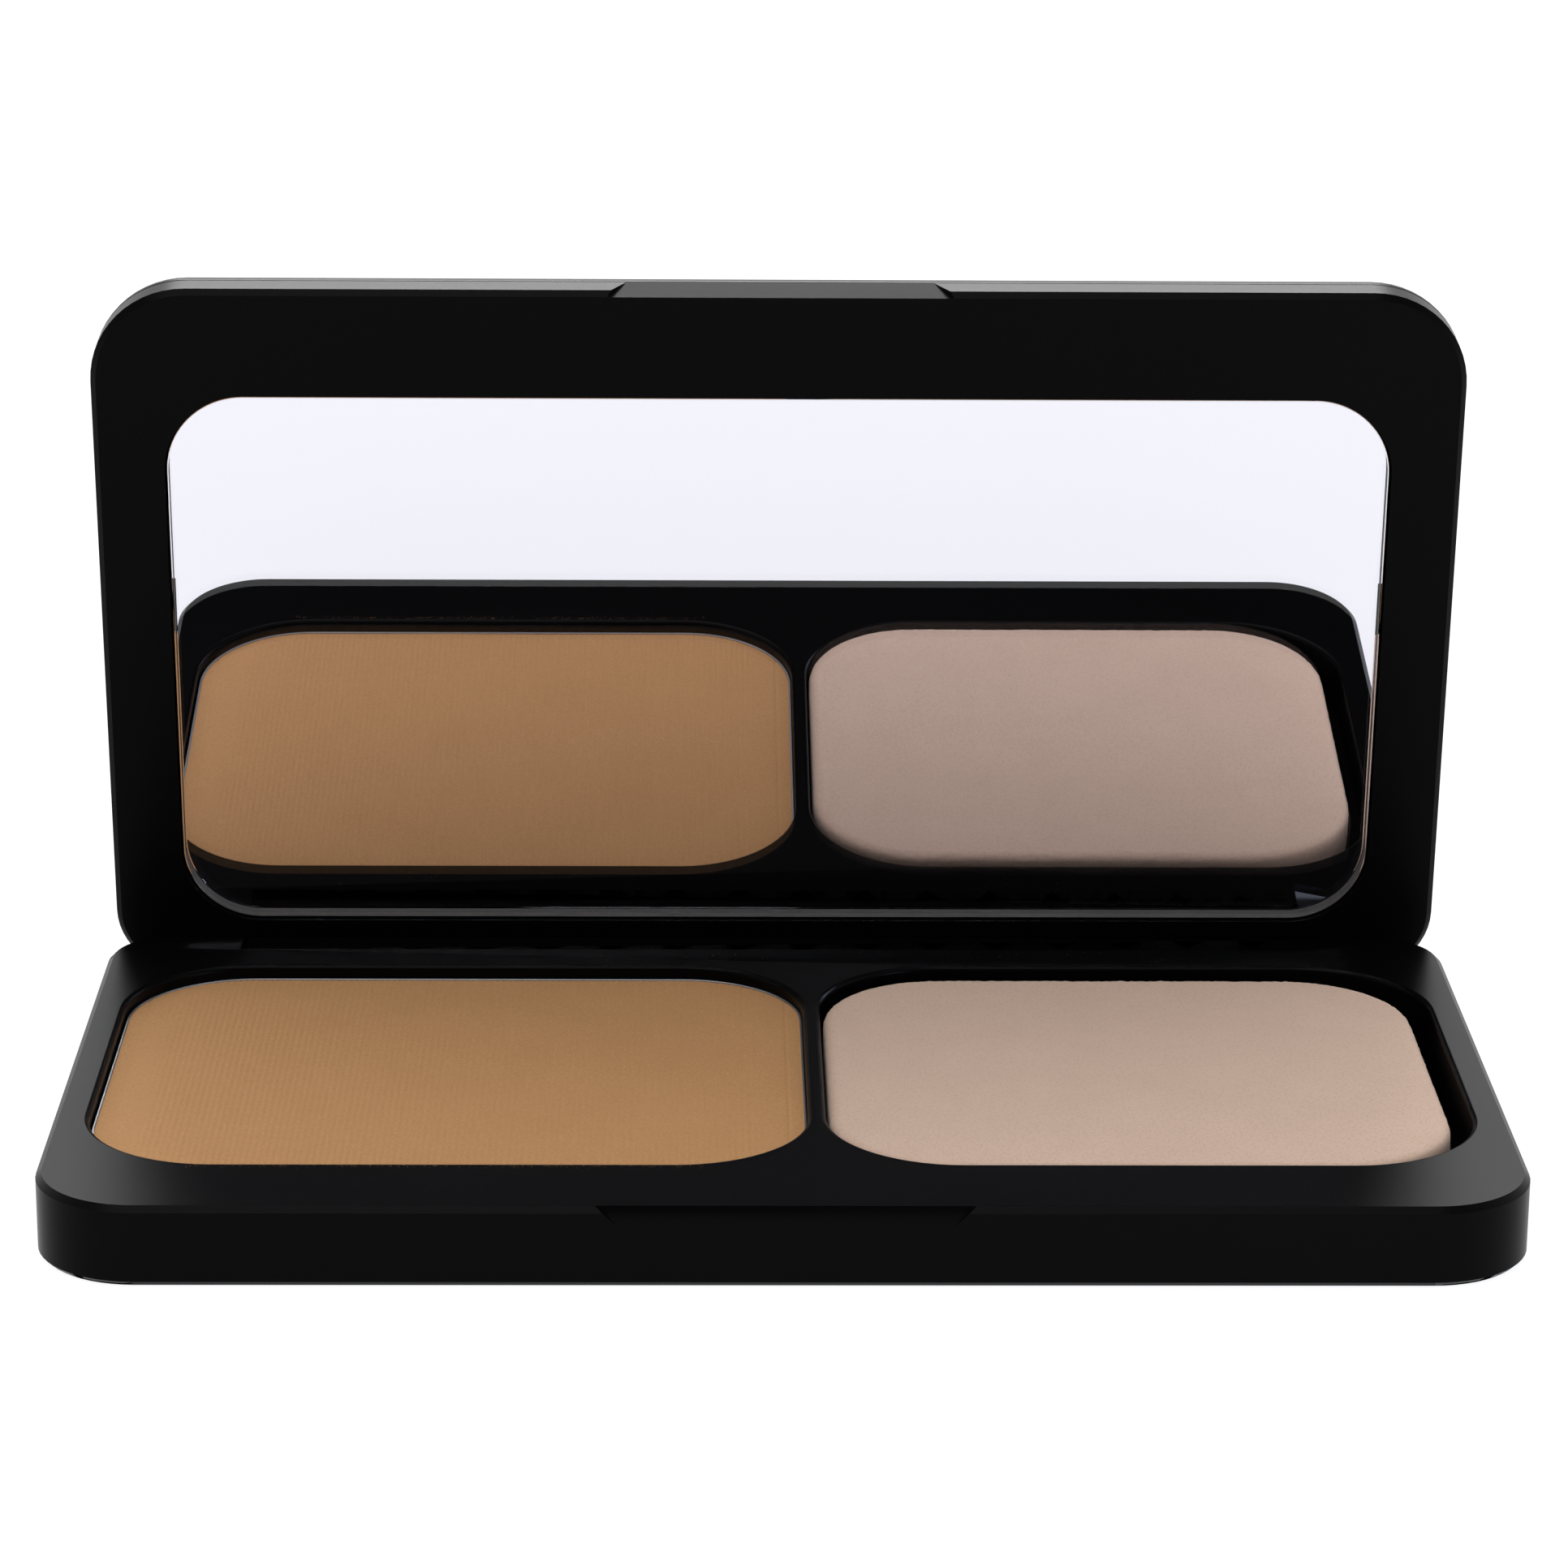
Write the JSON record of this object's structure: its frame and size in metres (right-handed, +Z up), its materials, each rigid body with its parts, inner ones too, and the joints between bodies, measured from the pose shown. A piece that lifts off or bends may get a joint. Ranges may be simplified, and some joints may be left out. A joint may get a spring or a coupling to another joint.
{
  "type": "powder compact",
  "caption": "Slim rectangular makeup compact, open: pressed powder in a metal pan beside a foam sponge, with a wide mirror in the hinged lid.",
  "frame": {"origin": "middle of the base's flat underside", "axes": "+X to the right along the long side, +Y from the finger notch to the hinge, +Z up"},
  "size_m": [0.11, 0.066, 0.0623],
  "materials": {
    "soft_touch_black": "soft-touch matte black",
    "cover_black": "fine-textured black",
    "label_film": "blank satin film label",
    "pan_metal": "bright pressed metal",
    "powder_tan": "pressed powder, fine ribs",
    "adhesive": "glue pad",
    "sponge_foam": "fine-celled foam with a soft nap",
    "magnet_metal": "nickel plated",
    "pin_steel": "drawn wire",
    "mirror_glass": "silvered glass, ground edge",
    "tape_white": "double-sided tape"
  },
  "bodies": {
    "base": {"base_shell": "soft_touch_black", "bottom_cover": "cover_black", "bottom_label": "label_film", "powder_pan": "pan_metal", "pressed_powder": "powder_tan", "pan_adhesive": "adhesive", "sponge": "sponge_foam", "base_magnet_left": "magnet_metal", "base_magnet_right": "magnet_metal", "hinge_pin_left": "pin_steel", "hinge_pin_right": "pin_steel"},
    "lid": {"lid_cover": "soft_touch_black", "lid_frame": "soft_touch_black", "mirror_glass": "mirror_glass", "mirror_tape": "tape_white", "lid_keeper_left": "magnet_metal", "lid_keeper_right": "magnet_metal"}
  },
  "joints": [
    {"name": "lid_hinge", "type": "hinge", "parent": "base", "child": "lid", "pos_m": [0, 0.0284, 0.0036], "axis": [-1, 0, 0], "range_deg": [-83.5, 21.5]}
  ]
}
